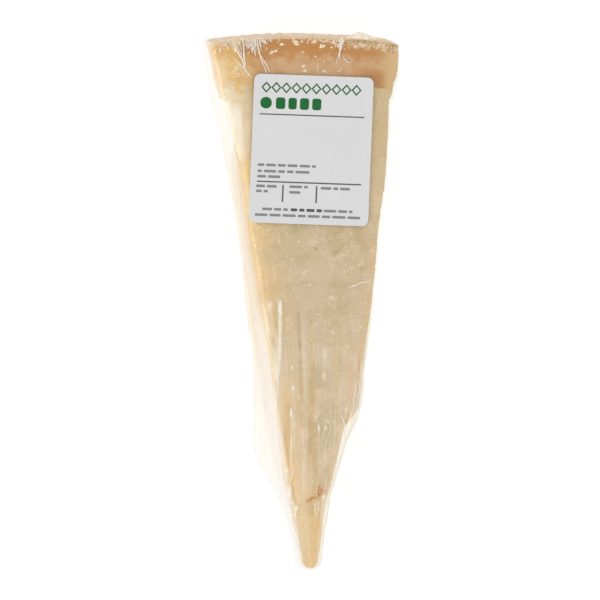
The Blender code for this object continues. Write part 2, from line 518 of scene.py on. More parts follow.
@dataclass(frozen=True)
class FilmFinish:
    """Clear stretched film, with painted milkiness and painted highlights, painted shade, glancing sheen and
    a sharp gloss.
    """

    name: str
    milk: float = 0.015
    streak_milk: float = 0.18
    band_milk: float = 0.14
    gloss: float = 1.0
    wrinkle: float = 0.10
    streaks_from_y: float = 0.006
    streaks_to_y: float = -0.030
    white: Colour = linear(255, 249, 230)
    side_cream: Colour = linear(255, 240, 190)
    side_white: Colour = (1.0, 1.0, 0.96)
    shade_tint: Colour = (0.72, 0.56, 0.38)
    band_tint: Colour = (0.985, 0.945, 0.84)

    def build(self) -> bpy.types.Material:
        """Builds the material."""
        graph = Graph(self.name)
        along = graph.add("ShaderNodeSeparateXYZ", {0: graph.place}).outputs["Y"]
        lower = graph.step(along, self.streaks_to_y, self.streaks_from_y, 1.0, 0.0)
        lines = graph.noise(1.0, 5.0, 0.65, 0.0, graph.stretched((950.0, 24.0, 400.0)))
        bands = graph.noise(1.0, 3.0, 0.55, 0.0, graph.stretched((360.0, 8.0, 120.0)))
        golden = graph.noise(1.0, 2.0, 0.5, 0.0, graph.stretched((270.0, 7.0, -150.0)))
        streak = graph.math("MULTIPLY", graph.step(lines, 0.50, 0.78),
                            graph.math("MULTIPLY_ADD", lower, 0.94, 0.06))
        band = graph.math("MULTIPLY", graph.step(bands, 0.42, 0.60, 0.12, 1.0), lower)
        # The film's milkiness together with painted highlights on the folds and gleams and painted light on
        # the lamp side.
        painted = graph.add("ShaderNodeAttribute", attribute_name=Film.MILK_AND_HIGHLIGHT).outputs["Fac"]
        milk = graph.math("MULTIPLY_ADD", streak, self.streak_milk, graph.math("ADD", painted, self.milk))
        milk = graph.math("MINIMUM", graph.math("MULTIPLY_ADD", band, self.band_milk, milk), 0.95)
        shade = graph.add("ShaderNodeAttribute", attribute_name=Film.SHADE).outputs["Fac"]
        side = graph.add("ShaderNodeAttribute", attribute_name=Film.SHEEN).outputs["Fac"]
        tinted = graph.math("MULTIPLY", graph.step(golden, 0.50, 0.62), lower)
        through = graph.mix(tinted, (1.0, 1.0, 1.0), self.band_tint)
        through = graph.mix(shade, through, self.shade_tint)
        tension = graph.bump(lines, self.wrinkle)
        crinkle = graph.bump(graph.noise(330.0, 4.0, 0.6, 0.8), self.wrinkle * 0.8, tension)
        clear = graph.add("ShaderNodeBsdfTransparent", {"Color": through})
        beside_rind = graph.step(along, 66 * MM, 44 * MM, 0.4, 1.0)
        stretch = graph.math("MULTIPLY", graph.step(along, -55 * MM, 5 * MM), beside_rind)
        creamy = graph.math("MULTIPLY", side, stretch)
        tone = graph.mix(side, self.white, self.side_white)
        tone = graph.mix(creamy, tone, self.side_cream)
        lit = graph.add("ShaderNodeBsdfPrincipled", {"Base Color": tone, "Roughness": 0.5, "Normal": crinkle})
        glow = graph.add("ShaderNodeBsdfTranslucent", {"Color": tone, "Normal": crinkle})
        through_haze = graph.math("MULTIPLY_ADD", side, 0.25, 0.15)
        # This whitish closure shows the milkiness together with the painted highlights and painted light.
        haze_and_painted_light = graph.add("ShaderNodeMixShader", {0: through_haze, 1: lit.outputs[0], 2: glow.outputs[0]})
        body = graph.add("ShaderNodeMixShader", {0: milk, 1: clear.outputs[0], 2: haze_and_painted_light.outputs[0]})
        shine = graph.add("ShaderNodeBsdfAnisotropic", {
            "Color": (0.97, 0.97, 0.97), "Roughness": 0.07, "Normal": crinkle})
        grazing = graph.add("ShaderNodeLayerWeight", {"Blend": 0.5, "Normal": crinkle}).outputs["Facing"]
        share = graph.math("MULTIPLY_ADD", graph.math("POWER", grazing, 5.0), 0.14, 0.03 * self.gloss)
        glancing = graph.math("MULTIPLY", graph.math("POWER", grazing, 2.5), side)
        share = graph.math("MULTIPLY_ADD", glancing, 0.75, share)
        return graph.finish(graph.add("ShaderNodeMixShader", {
            0: share, 1: body.outputs[0], 2: shine.outputs[0]}).outputs[0])


@dataclass(frozen=True)
class CrumbFinish:
    """Dry crumbs of the crust, whitish with tan specks."""

    pale: Colour = linear(246, 230, 202)
    tan: Colour = linear(226, 194, 152)

    def build(self) -> bpy.types.Material:
        """Builds the material."""
        graph = Graph("dry_crumb")
        colour = graph.mix(graph.step(graph.noise(700.0), 0.45, 0.62), self.pale, self.tan)
        bumped = graph.bump(graph.noise(2200.0), 0.06)
        shader = graph.add("ShaderNodeBsdfPrincipled",
                           {"Base Color": colour, "Roughness": 0.8, "Normal": bumped})
        return graph.finish(shader.outputs[0])


@dataclass(frozen=True)
class PaperFinish:
    """Smooth white label paper with a faint fibre."""

    white: Colour = linear(222, 221, 221)
    shade: Colour = linear(217, 216, 216)

    def build(self) -> bpy.types.Material:
        """Builds the material."""
        graph = Graph("label_paper")
        colour = graph.mix(graph.noise(70.0, 3.0), self.white, self.shade)
        bumped = graph.bump(graph.noise(1800.0, 2.0), 0.01)
        shader = graph.add("ShaderNodeBsdfPrincipled", {
            "Base Color": colour, "Roughness": 0.45, "Specular IOR Level": 0.4, "Normal": bumped})
        return graph.finish(shader.outputs[0])


class Ink(Enum):
    """The inks of the label's print, each with its colour."""

    GREEN = linear(4, 102, 42)
    DEEP_GREEN = linear(4, 95, 44)
    GREY = linear(87, 87, 89)
    SOFT_GREY = linear(133, 133, 135)

    def build(self) -> bpy.types.Material:
        """Builds this ink's material."""
        graph = Graph(f"ink_{self.name.lower()}")
        worn = graph.step(graph.noise(2400.0, 2.0), 0.3, 0.9, 0.0, 0.05)
        colour = graph.mix(worn, self.value, linear(226, 226, 226))
        shader = graph.add("ShaderNodeBsdfPrincipled", {
            "Base Color": colour, "Roughness": 0.6, "Specular IOR Level": 0.2})
        return graph.finish(shader.outputs[0])


# ---------------------------------------------------------------- the wedge


@dataclass(frozen=True)
class WedgeSkin:
    """A closed skin round the wedge. Stations are (mm from the rind, mm from the middle plane)."""

    foot_left: Stations
    foot_right: Stations
    upper_left: Stations
    upper_right: Stations
    bottom: float
    top: float
    edge: float
    hang: float
    cells: tuple[int, int, int]
    edge_left: float = 1.5
    rind_corner: float = 1.1
    tip_corner: float = 3.3
    tip_corner_from: float = 175.0
    tip_lean: float = 1.2
    length: float = 200.0
    wheel_radius: float = 217.0
    rind_lean: float = 1.2
    rind_apex: float = -3.0
    rind_out: float = 0.7
    rind_rise: float = 0.9
    tip_drop: float = 1.6
    tip_drop_from: float = 168.0

    def half_span(self, along: np.ndarray, up: np.ndarray) -> tuple[np.ndarray, np.ndarray]:
        """Where the left and the right side lie.

        Args:
            along: Millimetres from the rind.
            up: Share of the height.

        Returns:
            The two sides' x, in millimetres.
        """
        upper = up ** self.hang
        foot_left, foot_right = read_stations(self.foot_left, along), read_stations(self.foot_right, along)
        top_left, top_right = read_stations(self.upper_left, along), read_stations(self.upper_right, along)
        left = foot_left * (1 - upper) + top_left * upper
        right = foot_right * (1 - upper) + top_right * upper
        return -left, right

    def top_at(self, along: np.ndarray) -> np.ndarray:
        """Height of the upper face at a distance from the rind, in millimetres."""
        return self.top - self.tip_drop * smooth(self.tip_drop_from, self.length, along)

    def wheel_axis(self) -> tuple[float, float]:
        """Where the wheel's axis stands, in millimetres."""
        return self.rind_apex, self.length / 2 + self.rind_out - self.wheel_radius

    def rind_at(self, x: np.ndarray | float, up: np.ndarray | float) -> np.ndarray | float:
        """The y of the rind at an x and a share of the height, in millimetres."""
        apex, axis_y = self.wheel_axis()
        arc = axis_y + np.sqrt(self.wheel_radius ** 2 - (x - apex) ** 2)
        return arc - self.rind_lean * up + self.rind_rise * smooth(8.0, 32.0, np.asarray(x, float))

    def edge_at(self, across: np.ndarray, along: np.ndarray, up: np.ndarray) -> np.ndarray:
        """The rounding of the nearest edge: large along the upper left one, and small everywhere else."""
        left = (1.0 - smooth(0.12, 0.5, across)) * smooth(0.45, 0.6, up)
        left *= smooth(1.0, 14.0, along) * (1.0 - smooth(172.0, 192.0, along))
        return self.edge + (self.edge_left - self.edge) * left

    def place(self, unit: np.ndarray) -> np.ndarray:
        """Maps points of a unit block onto the wedge, with round corners and edges.

        Args:
            unit: Points of the block, from 0 to 1: across, from the rind to the tip, and up.

        Returns:
            The points on the wedge, in millimetres.
        """
        across, down = crowd_ends(unit[:, 0], 0.55), crowd_ends(unit[:, 1], 0.35)
        up = crowd_ends(unit[:, 2], 0.6)
        along = down * self.length
        left, right = self.half_span(along, up)
        wide, high = right - left, self.top_at(along) - self.bottom
        # Upright corners: the corner's square becomes a quarter disc.
        round_to = smooth(self.tip_corner_from, self.length - 5.0, along)
        corner = np.minimum(self.rind_corner + (self.tip_corner - self.rind_corner) * round_to, 0.48 * wide)
        side, end = np.minimum(across, 1 - across) * wide, np.minimum(down, 1 - down) * self.length
        into_x, into_y = np.maximum(corner - side, 0.0), np.maximum(corner - end, 0.0)
        reach = np.maximum(np.hypot(into_x, into_y), 1e-9)
        shrink = np.maximum(into_x, into_y) / reach
        inward_x, inward_y = np.sign(0.5 - across) * into_x / reach, np.sign(0.5 - down) * into_y / reach
        move_x, move_y = inward_x * (1 - shrink) * reach, inward_y * (1 - shrink) * reach
        # Lower and upper edges: both distances from the edge go onto a quarter circle.
        depth, rise = np.minimum(side, end), np.minimum(up, 1 - up) * high
        edge = self.edge_at(across, along, up)
        near_side, near_face = np.maximum(edge - depth, 0.0), np.maximum(edge - rise, 0.0)
        far = np.hypot(near_side, near_face)
        over = np.where((near_side > 0) & (near_face > 0) & (far > edge), 1 - edge / np.maximum(far, 1e-9), 0)
        move_x += inward_x * near_side * over
        move_y += inward_y * near_side * over
        x = left + wide * across + move_x
        rind = self.rind_at(x, up)
        tip = self.tip_lean * up - self.length / 2
        y = rind + (tip - rind) * down - move_y
        z = self.bottom + high * up + np.sign(0.5 - up) * near_face * over
        return np.stack([x, y, z], 1)

    def build(self) -> bmesh.types.BMesh:
        """A block with this skin's shape, in metres, with its normals worked out."""
        bm = gridded_block(self.cells)
        set_corners(bm, self.place(corners_of(bm)) * MM)
        bmesh.ops.recalc_face_normals(bm, faces=bm.faces)
        bm.normal_update()
        return bm

    def across_at(self, along: float, share: float) -> float:
        """The x at a share of the way across the upper face, from -1 at the left edge to 1 at the right."""
        left, right = self.half_span(np.array([along]), np.array([1.0]))
        return float((left + right)[0] / 2 + (right - left)[0] / 2 * share)


@dataclass
class Cheese:
    """The cheese itself: smooth wire-cut faces, broken flanks, a crumbly rind that stands proud of them."""

    CRACK = "crack"
    # Painted shade for the pits, the cut marks and the low facet.
    PIT_SHADE = "pit"
    RIM = "rim"

    skin: WedgeSkin = WedgeSkin(
        upper_left=((0, 35.2), (12, 33.2), (19.5, 31.7), (24, 28.6), (27, 26.5), (34.5, 24.6), (40, 24.2),
                    (57, 22.3), (73, 20.4), (96, 16.7), (121, 13.3), (154, 8.8), (178, 4.6), (193, 1.6),
                    (200, 1.0)),
        foot_left=((0, 34.8), (6.5, 33.1), (15, 31.4), (22.5, 29.5), (26, 25.6), (32.5, 23.7), (36, 23.3),
                   (47, 25.0), (71, 22.0), (89, 19.8), (107, 17.3), (126, 14.7), (152, 10.5), (174, 5.6),
                   (189, 1.5), (200, -1.2)),
        upper_right=((0, 34.9), (10, 34.4), (15, 33.1), (19, 32.4), (22, 31.3), (36, 30.7), (53, 29.6),
                     (73, 27.1), (93, 25.5), (115, 22.5), (134, 20.6), (139, 19.5), (145.5, 15.2),
                     (154, 12.6), (165, 10.2), (173, 8.1), (188, 5.9), (195, 5.2), (200, 4.7)),
        foot_right=((0, 34.9), (10, 34.6), (15, 33.6), (20, 32.8), (24, 31.9), (36, 31.2), (53, 30.2),
                    (73, 27.8), (93, 26.2), (115, 23.2), (134, 21.3), (145, 17.0), (157, 13.6), (169, 10.3),
                    (187, 6.6), (200, 5.2)),
        bottom=0.35, top=31.7, edge=0.9, edge_left=3.8, hang=1.0, cells=(100, 256, 36), rind_out=0.55)
    crack_path: tuple[tuple[float, float], ...] = ((0.2, -72.8), (1.8, -72.4), (3.2, -71.6), (4.3, -70.6),
                                                   (5.5, -69.4))
    crack_width: tuple[float, float] = (0.6, 2.3)
    crack_depth: float = 0.15
    ledge: tuple[float, float, float] = (0.2, 5.8, 0.35)
    # shaded_facet: a patch of painted shade on the low facet beyond the crack: middle x, y and half sizes
    shaded_facet: tuple[float, float, float, float] = (1.7, -76.4, 1.5, 3.6)
    pits: tuple[tuple[float, float, float], ...] = ((1.7, -6.3, 0.45), (10.4, 19.2, 0.6), (11.4, 19.7, 0.5),
                                                    (3.6, 20.9, 0.4), (2.1, 26.3, 0.4), (20.9, 13.0, 0.5))
    cut_marks: tuple[tuple[float, float, float], ...] = ((17.8, -9.5, 6.5), (7.7, -9.0, 18.0))

    def crack_at(self, x: np.ndarray, y: np.ndarray) -> np.ndarray:
        """How strongly the rough fracture near the tip shows at places of the upper face, 0 to 1."""
        best = np.zeros_like(x)
        path = np.array(self.crack_path)
        for i, (start, end) in enumerate(zip(path, path[1:])):
            run = end - start
            share = np.clip(((x - start[0]) * run[0] + (y - start[1]) * run[1]) / (run @ run), 0.0, 1.0)
            far = np.hypot(x - start[0] - run[0] * share, y - start[1] - run[1] * share)
            narrow, broad = self.crack_width
            width = narrow + (broad - narrow) * (i + share) / (len(path) - 1)
            best = np.maximum(best, np.exp(-(far / width) ** 2))
        return best

    def shape(self, bm: bmesh.types.BMesh) -> None:
        """Moves the smooth wedge's surface in, and marks the fracture and the rims on it, with painted shade
        in the pits, the cut marks and the low facet by the tip.
        """
        spots, normals = corners_of(bm) / MM, normals_of(bm)
        x, y, z = spots.T
        apex, axis_y = self.skin.wheel_axis()
        depth = self.skin.wheel_radius - np.hypot(x - apex, y - axis_y)
        face = smooth(0.55, 0.9, np.abs(normals[:, 2]))
        crust = 1.0 - smooth(0.8, 2.6, depth + 0.5 * cloud(spots, 0.8))
        flank = (1.0 - face) * (1.0 - crust)
        hollow = 1.0 - smooth(0.0, 7.0, self.skin.top - z) * smooth(0.0, 5.0, z)
        inwards = 0.12 + 0.16 * cloud(spots, 0.09) + 0.08 * cloud(spots, 0.5) + 0.07 * cloud(spots, 1.1, 5.0)
        broken = 0.6 * cloud(spots, 0.15) + 0.45 * np.abs(cloud(spots, 0.36)) + 0.22 * cloud(spots, 0.95)
        inwards += flank * (broken * (1.0 - 0.6 * hollow) + 0.4 * (1.0 - hollow))
        inwards += crust * (0.35 * cloud(spots, 0.6) + 0.3 * cloud(spots, 1.25, 3.0) + 0.1)
        top = normals[:, 2] > 0.7
        crack = np.where(top & (y < -60.0), self.crack_at(x, y), 0.0)
        crack = smooth(0.42, 0.72, crack * np.clip(0.95 + 1.7 * cloud(spots, 0.9, 9.0), 0.0, 1.4))
        inwards += self.crack_depth * crack
        low_x, high_x, drop = self.ledge
        line = np.interp(x, *np.array(self.crack_path).T)
        beyond = smooth(0.0, 0.5, line - y) * (1.0 - smooth(2.0, 9.0, line - y))
        inwards += np.where(top, drop * beyond * smooth(low_x - 0.4, low_x, x)
                            * (1 - smooth(high_x, high_x + 1, x)), 0)
        # The pits are dented, and painted darker as painted shade in their hollows.
        pit = np.zeros_like(x)
        for pit_x, pit_y, size in self.pits:
            hole = np.exp(-(np.hypot(x - pit_x, y - pit_y) / size) ** 2)
            pit = np.maximum(pit, 0.8 * np.where(top, hole, 0.0))
        inwards += 0.45 * pit
        # The cut marks are shallow grooves, painted slightly darker as painted shade.
        for mark_y, start, end in self.cut_marks:
            inside = smooth(start, start + 4.0, x) * (1.0 - smooth(end - 4.0, end, x))
            mark = np.where(top, np.exp(-((y - mark_y - 0.5 * cloud(spots, 0.15)) / 1.1) ** 2) * inside, 0.0)
            inwards += 0.06 * mark
            pit = np.maximum(pit, 0.14 * mark)
        along = self.skin.length / 2 - y
        left, right = self.skin.half_span(along, np.ones_like(along))
        right_rim = 0.4 * (1.0 - smooth(0.3, 5.0, right - x)) * (1.0 - smooth(20.0, 45.0, y))
        rim = np.maximum(1.0 - smooth(-1.0, 15.0, x - left), right_rim)
        # The low facet beyond the crack is painted darker as painted shade, where it lies lower.
        facet_x, facet_y, half_x, half_y = self.shaded_facet
        far = np.hypot((x - facet_x) / half_x, (y - facet_y) / half_y) + 0.3 * cloud(spots, 0.8, 4.0)
        pit = np.maximum(pit, np.where(top, 0.2 * (1.0 - smooth(0.6, 1.1, far)), 0.0))
        set_corners(bm, (spots - normals * inwards[:, None]) * MM)
        for vert in bm.verts:
            vert.co.z = max(vert.co.z, 0.2 * MM)
        paint(bm, self.CRACK, np.clip(crack, 0.0, 1.0))
        paint(bm, self.PIT_SHADE, pit)
        paint(bm, self.RIM, rim)

    def build(self) -> bpy.types.Object:
        """Builds and dresses the cheese."""
        bm = self.skin.build()
        self.shape(bm)
        apex, axis_y = self.skin.wheel_axis()
        finish = CheeseFinish(self.skin.wheel_radius * MM, (apex * MM, axis_y * MM),
                              -self.skin.length / 2 * MM)
        piece = finished("cheese", bm, finish.build())
        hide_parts(WRAPPED)
        return piece


@dataclass
class Crumbs:
    """Loose dry crumbs of the crust, caught under the film by the rind. Clumps are (x, y, spread, count)."""

    skin: WedgeSkin
    seed: int = 7
    clumps: tuple[tuple[float, float, float, int], ...] = (
        (-13.0, 94.2, 0.6, 7), (-11.6, 94.9, 0.7, 8), (-1.2, 89.2, 0.5, 6), (-0.5, 87.4, 0.5, 6),
        (-1.3, 94.3, 0.3, 3), (7.0, 87.0, 0.5, 4), (-3.6, 97.8, 1.0, 9), (2.6, 97.7, 0.9, 7),
        (5.6, 96.6, 0.9, 8), (6.6, 91.0, 0.2, 2), (11.2, 96.9, 0.9, 7), (18.5, 96.4, 0.8, 6),
        (-9.5, 97.4, 0.9, 6), (3.4, 92.6, 0.2, 2), (-21.5, 86.2, 0.3, 2))
    strewn: int = 70
    size: tuple[float, float] = (0.22, 0.5)
    strewn_size: tuple[float, float] = (0.14, 0.3)

    def spots(self, draw: random.Random) -> list[tuple[float, float, float]]:
        """Where the crumbs lie, as (x, y, radius) in millimetres."""
        found = []
        for x, y, spread, count in self.clumps:
            for _ in range(count):
                turn, reach = draw.uniform(0.0, math.tau), spread * math.sqrt(draw.random())
                found.append((x + reach * math.cos(turn), y + reach * math.sin(turn) * 0.7,
                              draw.uniform(*self.size)))
        for _ in range(self.strewn):
            x = draw.uniform(-33.0, 33.0)
            y = float(self.skin.rind_at(x, 1.0)) - 0.7 - abs(draw.gauss(0.0, 1.3))
            found.append((x, y, draw.uniform(*self.strewn_size)))
        return found

    def build(self) -> bpy.types.Object:
        """Builds and dresses the crumbs as one joined mesh."""
        draw = random.Random(self.seed)
        bm = bmesh.new()
        for x, y, radius in self.spots(draw):
            turn = Matrix.Rotation(draw.uniform(0.0, math.tau), 4,
                                   Vector((draw.random(), draw.random(), 1.0)))
            squash = Matrix.Diagonal((draw.uniform(0.9, 1.7), draw.uniform(0.7, 1.1), 0.5, 1.0))
            place = Matrix.Translation(Vector((x, y, self.skin.top - 0.1)) * MM)
            made = bmesh.ops.create_icosphere(bm, subdivisions=2, radius=radius * MM,
                                              matrix=place @ squash @ turn)
            for vert in made["verts"]:
                vert.co += (vert.co - place.translation) * 0.8 * noise.noise(vert.co / MM * 2.1)
        return finished("crust_crumbs", bm, CrumbFinish().build())


# ---------------------------------------------------------------- the film


@dataclass(frozen=True)
class Fold:
    """A lengthwise fold of the film over the upper face.

    The course holds (x, y) in millimetres, from the rind towards the tip. milk whitens the fold,
    partly as doubled film and partly as a painted highlight, or clears the haze on it where it is below zero,
    and shade darkens it as painted shade.
    """

    course: tuple[tuple[float, float], ...]
    width: float
    height: float
    milk: float = 0.0
    shade: float = 0.0

    def weight(self, spots: np.ndarray) -> np.ndarray:
        """How strong the fold is at each spot, 0 to 1, with soft ends and an uneven strength."""
        across, down = np.array(self.course, float).T
        share = (down[0] - spots[:, 1]) / (down[0] - down[-1])
        middle = np.interp(-spots[:, 1], -down, across)
        ends = smooth(0.0, 0.10, share) * smooth(0.0, 0.18, 1.0 - share)
        near = np.abs(spots[:, 0] - middle) < 3.0 * self.width
        found = np.zeros(len(spots))
        picked = spots[near & (ends > 0.0)]
        uneven = 0.8 + 0.5 * cloud(picked * (0.0, 1.0, 0.0), 0.30, across[0])
        wobble = 0.3 * cloud(picked * (0.0, 1.0, 0.0), 0.12, down[0])
        off = (picked[:, 0] - middle[near & (ends > 0.0)] - wobble) / self.width
        found[near & (ends > 0.0)] = np.exp(-off * off) * ends[near & (ends > 0.0)] * uneven
        return found


@dataclass(frozen=True)
class Gleam:
    """A painted highlight over the upper face, a whitened patch where crumpled film glints: middle, half
    sizes and strength.
    """

    x: float
    y: float
    half_x: float
    half_y: float
    milk: float

    def weight(self, spots: np.ndarray) -> np.ndarray:
        """How strong the patch is at each spot, 0 to 1, with a ragged rim."""
        off_x, off_y = (spots[:, 0] - self.x) / self.half_x, (spots[:, 1] - self.y) / self.half_y
        far = np.hypot(off_x, off_y)
        found = np.zeros(len(spots))
        near = far < 1.8
        ragged = 0.35 * cloud(spots[near], (0.9 / self.half_x, 0.9 / self.half_y, 0.1), self.x)
        found[near] = 1.0 - smooth(0.55, 1.15, far[near] + ragged)
        return found


@dataclass
class Film:
    """The clear film: a tight closed bag that bridges the hollows and stands off at the lower left."""

    # Milkiness together with painted highlights and painted light.
    MILK_AND_HIGHLIGHT = "milk"
    SHADE = "shade"
    SHEEN = "sheen"

    skin: WedgeSkin = WedgeSkin(
        upper_left=((0, 35.5), (12, 33.6), (19.5, 32.2), (38, 27.0), (57, 23.2), (73, 21.0), (96, 17.3),
                    (112, 14.8), (126, 12.9), (140, 11.4), (154, 9.9), (169, 7.6), (180, 5.2), (189, 3.2),
                    (195, 2.2), (200, 1.7)),
        foot_left=((0, 35.0), (4, 34.9), (10, 34.1), (23, 32.2), (36.5, 29.1), (53, 25.7), (71.5, 22.7),
                   (89, 20.4), (107, 18.6), (121, 16.4), (136, 16.0), (154, 16.2), (165, 11.8),
                   (176.5, 6.0), (184.5, 2.8), (195, 0.6), (200, 0.2)),
        upper_right=((0, 35.0), (11, 34.7), (16, 33.6), (20, 32.8), (23, 31.9), (36, 31.2), (53, 30.0),
                     (73, 27.5), (83, 26.7), (102, 25.0), (115, 23.1), (125, 21.8), (134, 21.3),
                     (142.5, 19.4), (152, 15.2), (160, 12.9), (166, 11.1), (173, 9.0), (180.5, 7.9),
                     (188, 6.8), (195.5, 6.1), (200, 5.6)),
        foot_right=((0, 35.3), (11, 35.0), (16, 34.2), (22, 33.1), (36, 32.0), (53, 30.9), (73, 28.5),
                    (93, 26.9), (115, 23.9), (134, 22.2), (145, 19.0), (157, 14.6), (169, 11.2),
                    (187, 7.7), (200, 6.3)),
        bottom=0.02, top=31.95, edge=1.1, edge_left=2.4, hang=0.5, cells=(132, 230, 20), tip_corner=3.4)
    # The folds' milk is partly doubled film and partly a painted highlight; their shade is painted shade
    # beside them.
    folds: tuple[Fold, ...] = (
        Fold(((-9.9, 2.9), (-10.1, 0.8), (-9.9, -9.3), (-10.0, -18.6), (-10.9, -28.0), (-11.3, -37.3),
              (-10.9, -46.7), (-10.3, -55.0)), 0.85, 0.75, 0.9),
        Fold(((-9.0, 2.0), (-8.9, -14.0), (-9.4, -24.0)), 0.4, -0.05, 0.0, 0.12),
        Fold(((-13.7, 2.5), (-14.0, -2.0), (-14.6, -8.0), (-15.2, -14.0)), 1.2, 0.3, 0.5),
        Fold(((-12.4, -10.0), (-12.2, -20.0), (-12.4, -30.0), (-12.6, -40.0)), 0.8, -0.1, -0.8, 0.3),
        Fold(((-3.4, 0.5), (-2.6, -9.3), (-1.9, -28.0), (-1.6, -38.0)), 0.5, -0.04, 0.0, 0.36),
        Fold(((-2.2, 1.0), (-1.2, -9.3), (-0.6, -28.0), (-0.4, -38.0)), 0.7, 0.25, 0.24),
        Fold(((1.2, -40.0), (1.4, -57.0)), 0.45, -0.1, 0.0, 0.4),
        Fold(((-1.3, -44.0), (-1.1, -62.0), (-0.9, -74.0)), 0.85, 0.25, 0.32),
        Fold(((-6.9, -35.0), (-6.7, -58.0)), 0.8, -0.1, 0.0, 0.3),
        Fold(((-5.2, -37.0), (-5.4, -48.0), (-5.8, -64.0)), 0.45, 0.35, 0.4),
        Fold(((19.8, -24.2), (17.5, -37.3), (15.7, -46.7), (14.0, -52.7), (11.3, -60.5), (8.5, -69.5),
              (6.6, -88.0)),
             0.55, 0.45, 0.5),
        Fold(((18.6, -28.0), (15.4, -38.0), (13.4, -46.0), (12.4, -54.0)), 0.35, 0.35, 0.3),
        Fold(((20.0, -19.0), (19.2, -30.0), (18.0, -39.0)), 0.35, -0.1, 0.0, 0.45),
        Fold(((7.1, -14.5), (7.2, -24.0)), 0.9, 0.2, 0.22),
        Fold(((4.6, -42.0), (4.8, -60.0)), 0.4, 0.2, 0.22),
        Fold(((8.8, -34.0), (8.4, -57.0)), 0.4, 0.25, 0.22),
        Fold(((11.2, -33.0), (10.2, -58.0)), 0.4, 0.25, 0.25),
        Fold(((13.0, -26.0), (12.6, -39.0)), 0.4, 0.2, 0.2),
        Fold(((2.2, -12.0), (2.6, -34.0)), 0.6, 0.2, 0.12),
        Fold(((-22.0, 93.5), (-19.6, 88.0)), 1.2, 0.0, 0.0, 0.35),
        Fold(((-25.0, 98.0), (-23.9, 95.4), (-23.7, 92.0)), 0.35, 0.0, 0.0, 0.5),
        Fold(((-22.6, 97.6), (-21.4, 94.6)), 0.5, 0.0, 0.0, 0.45),
        Fold(((-26.9, 98.0), (-25.2, 94.4), (-23.8, 90.0)), 0.35, 0.0, 0.0, 0.3),
        Fold(((-18.4, 94.0), (-16.4, 89.4), (-15.0, 86.0)), 0.35, 0.0, 0.0, 0.3),
        Fold(((-27.4, 90.8), (-24.4, 87.6), (-21.4, 84.4)), 0.9, 0.2, 0.25))
    # The gleams are painted highlights, where crumpled film glints.
    gleams: tuple[Gleam, ...] = (
        Gleam(-9.9, -1.4, 0.85, 3.6, 0.95), Gleam(-26.2, 69.5, 2.8, 7.5, 0.8),
        Gleam(-13.6, -6.0, 1.5, 7.0, 0.35), Gleam(-13.2, -25.0, 2.9, 12.0, 0.6),
        Gleam(7.0, -18.2, 1.0, 2.6, 0.3), Gleam(6.6, -26.2, 0.9, 1.5, 0.45),
        Gleam(-5.0, -31.0, 0.8, 1.6, 0.5), Gleam(-5.6, -23.2, 0.35, 1.8, 0.5),
        Gleam(-5.8, -40.0, 0.4, 1.6, 0.95), Gleam(4.6, -45.8, 0.35, 1.5, 0.8),
        Gleam(7.2, -45.8, 0.7, 0.9, 0.7), Gleam(-6.3, -70.4, 0.9, 3.8, 0.75),
        Gleam(-4.0, -76.0, 0.9, 1.3, 0.85), Gleam(-7.2, -62.0, 0.4, 2.0, 0.5),
        Gleam(4.0, -75.6, 0.9, 3.2, 0.25), Gleam(2.2, -65.0, 1.6, 3.0, 0.15),
        Gleam(-20.4, 97.4, 2.9, 1.9, 0.42), Gleam(-26.8, 97.2, 1.6, 1.2, 0.3),
        Gleam(6.4, -71.5, 0.8, 1.1, 0.7), Gleam(13.0, 97.6, 1.1, 1.6, 0.6))
    bulge: tuple[float, float, float] = (20.6, 5.2, 2.6)
    skirt_from_y: float = 4.0
    skirt_to_y: float = -20.0
    bridge_y: float = 66.0
    left_reach: tuple[tuple[float, float], ...] = ((-100, 1.2), (-80, 1.4), (-54, 1.9), (-38, 3.2),
                                                   (-24, 6.5), (-14, 7.0), (-4, 2.0), (4, 0))
    right_reach: tuple[tuple[float, float], ...] = ((-100, 2.2), (-54, 3.4), (-35, 3.4), (-16, 1.8),
                                                    (0, 0.8), (30, 0.5))

    def haze_and_painted_light(self, spots: np.ndarray, normals: np.ndarray) -> tuple[np.ndarray, np.ndarray]:
        """How milky the film is along its sides and edges, with painted light that whitens the left, lamp
        side far more than the right, and how much it shines there at a glancing look.

        Args:
            spots: The film's corners, in millimetres.
            normals: Their normals.

        Returns:
            The milk with its painted light, and the sheen at each corner, 0 to 1.
        """
        x, y, z = spots.T
        low = 1.0 - np.clip(z / self.skin.top, 0.0, 1.0)
        hanging = 1.0 - smooth(self.skirt_to_y, self.skirt_from_y, y)
        bridged = np.exp(-((y - self.bridge_y) / 14.0) ** 2)
        to_left, to_right = smooth(0.05, 0.6, -normals[:, 0]), smooth(0.1, 0.65, normals[:, 0])
        upper = smooth(17.0, 30.0, z)
        # Painted light: the milk on the left, lamp side reaches far higher than on the right, partly the
        # milkiness of the loose skirt.
        left = np.clip(0.6 * low + 0.58 * np.maximum(hanging, bridged), 0.0, 0.6) * to_left
        right = (0.1 * low + 0.45 * hanging * upper) * to_right
        left_edge, right_edge = self.skin.half_span(self.skin.length / 2 - y, np.ones_like(y))
        on_top = smooth(0.3, 0.7, normals[:, 2])
        reach = np.interp(y, *np.array(self.left_reach).T)
        left_reach = 0.1 + 8.0 * bridged + reach
        right_reach = 0.1 + np.interp(y, *np.array(self.right_reach).T)
